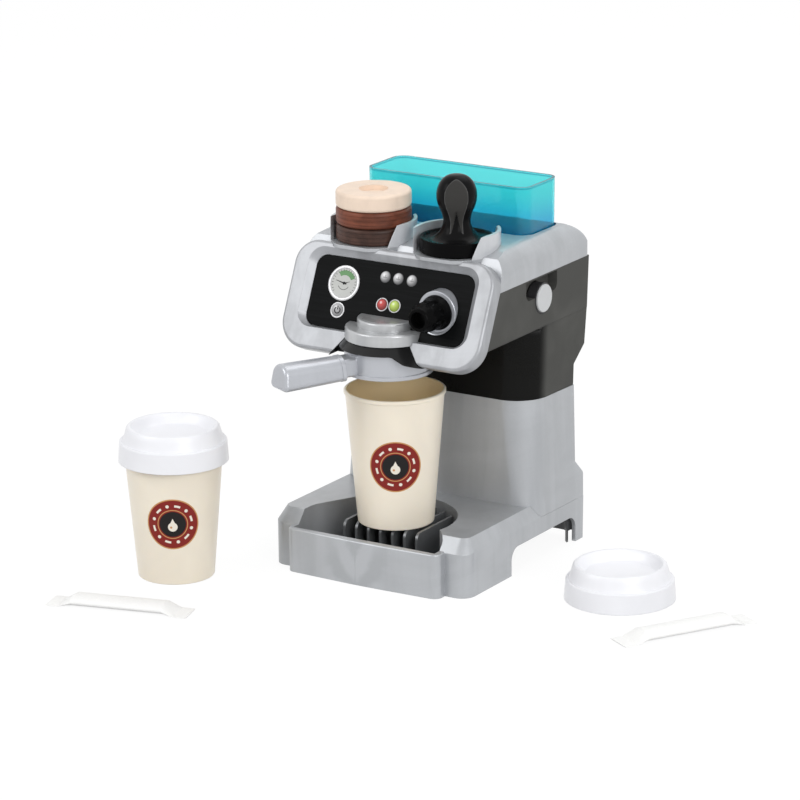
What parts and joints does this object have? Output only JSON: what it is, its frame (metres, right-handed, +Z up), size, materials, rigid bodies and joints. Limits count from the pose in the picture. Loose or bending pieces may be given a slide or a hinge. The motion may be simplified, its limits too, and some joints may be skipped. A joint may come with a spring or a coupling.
{
  "type": "toy coffee maker",
  "caption": "Toy espresso machine with turning filter handle, knob, push button, lift-out tank, discs, tamper, cups with lids and sugar sticks.",
  "frame": {"origin": "on the surface that the machine stands on, on its mid plane, under the middle of the base", "axes": "+X to the machine's right seen from its front, -Y out of its front, +Z up"},
  "size_m": [0.4371, 0.3219, 0.2781],
  "materials": {
    "silver_shell": "pearl grey moulded plastic, satin gloss",
    "black_shell": "black moulded plastic, satin",
    "black_label": "black panel with printed controls",
    "plated_silver": "polished silver coated plastic",
    "screw_steel": "zinc plated steel",
    "spring_steel": "spring steel",
    "dark_fittings": "black moulded plastic, glossy",
    "button_grey": "light grey moulded plastic",
    "tank_turquoise": "tinted clear plastic",
    "disc_dark": "very dark brown moulded plastic",
    "disc_brown": "brown moulded plastic",
    "disc_cream": "cream moulded plastic",
    "cup_cream": "cream cup, tan inside, with a round printed badge",
    "lid_white": "white moulded plastic",
    "stick_white": "white paper"
  },
  "bodies": {
    "machine": {"base_tray": "silver_shell", "drip_grille": "silver_shell", "column_shell": "silver_shell", "column_rear_cover": "silver_shell", "middle_housing": "black_shell", "head_rear_cover": "black_shell", "top_cover": "silver_shell", "disc_holder": "silver_shell", "tamper_holder": "silver_shell", "front_bezel": "silver_shell", "control_label": "black_label", "group_cap": "plated_silver", "bayonet_ring": "dark_fittings", "knob_collar": "silver_shell", "click_spring": "spring_steel", "button_spring": "spring_steel", "base_screws": "screw_steel", "neck_screws": "screw_steel", "top_cover_screws": "screw_steel", "bezel_screws": "screw_steel", "group_screws": "screw_steel", "column_cover_screws": "screw_steel", "head_cover_screws": "screw_steel"},
    "knob": {"control_knob": "dark_fittings", "knob_spindle": "dark_fittings", "click_wheel": "dark_fittings", "knob_screw": "screw_steel"},
    "portafilter": {"portafilter_bowl": "silver_shell", "portafilter_collar": "silver_shell", "portafilter_handle": "silver_shell", "handle_screw": "screw_steel"},
    "side_button": {"side_button": "black_shell", "side_button_cap": "button_grey"},
    "water_tank": {"water_tank": "tank_turquoise"},
    "coffee_disc_dark": {"coffee_disc_dark": "disc_dark"},
    "coffee_disc_brown": {"coffee_disc_brown": "disc_brown"},
    "coffee_disc_cream": {"coffee_disc_cream": "disc_cream"},
    "tamper": {"tamper_base": "dark_fittings", "tamper_handle": "dark_fittings"},
    "cup": {"cup": "cup_cream"},
    "second_cup": {"second_cup": "cup_cream"},
    "second_cup_lid": {"second_cup_lid": "lid_white"},
    "loose_lid": {"loose_lid": "lid_white"},
    "left_sugar_stick": {"left_sugar_stick": "stick_white"},
    "right_sugar_stick": {"right_sugar_stick": "stick_white"}
  },
  "joints": [
    {"name": "knob_turn", "type": "hinge", "parent": "machine", "child": "knob", "pos_m": [0.0395, -0.0545, 0.1905], "axis": [0, -1, 0], "continuous": true},
    {"name": "portafilter_turn", "type": "hinge", "parent": "machine", "child": "portafilter", "pos_m": [0, -0.0538, 0.1524], "axis": [0, 0, 1], "range_deg": [-13.5, 26.5]},
    {"name": "side_button_push", "type": "slide", "parent": "machine", "child": "side_button", "axis": [-1, 0, 0], "range_m": [0, 0.003], "stiffness_N_per_m": 150, "deforming": ["button_spring"]},
    {"name": "tank_lift", "type": "slide", "parent": "machine", "child": "water_tank", "axis": [0, 0, 1], "range_m": [0, 0.08]},
    {"name": "dark_disc_lift", "type": "slide", "parent": "machine", "child": "coffee_disc_dark", "axis": [0, 0, 1], "range_m": [0, 0.06]},
    {"name": "brown_disc_lift", "type": "slide", "parent": "coffee_disc_dark", "child": "coffee_disc_brown", "axis": [0, 0, 1], "range_m": [0, 0.03]},
    {"name": "cream_disc_lift", "type": "slide", "parent": "coffee_disc_brown", "child": "coffee_disc_cream", "axis": [0, 0, 1], "range_m": [0, 0.03]},
    {"name": "tamper_lift", "type": "slide", "parent": "machine", "child": "tamper", "axis": [0, 0, 1], "range_m": [0, 0.06]},
    {"name": "cup_pull", "type": "slide", "parent": "machine", "child": "cup", "axis": [0, -1, 0], "range_m": [0, 0.12]},
    {"name": "second_cup_lift", "type": "slide", "parent": "machine", "child": "second_cup", "axis": [0, 0, 1], "range_m": [0, 0.08]},
    {"name": "cup_lid_lift", "type": "slide", "parent": "second_cup", "child": "second_cup_lid", "axis": [0, 0, 1], "range_m": [0, 0.05]},
    {"name": "loose_lid_lift", "type": "slide", "parent": "machine", "child": "loose_lid", "axis": [0, 0, 1], "range_m": [0, 0.06]},
    {"name": "left_stick_lift", "type": "slide", "parent": "machine", "child": "left_sugar_stick", "axis": [0, 0, 1], "range_m": [0, 0.05]},
    {"name": "right_stick_lift", "type": "slide", "parent": "machine", "child": "right_sugar_stick", "axis": [0, 0, 1], "range_m": [0, 0.05]}
  ]
}
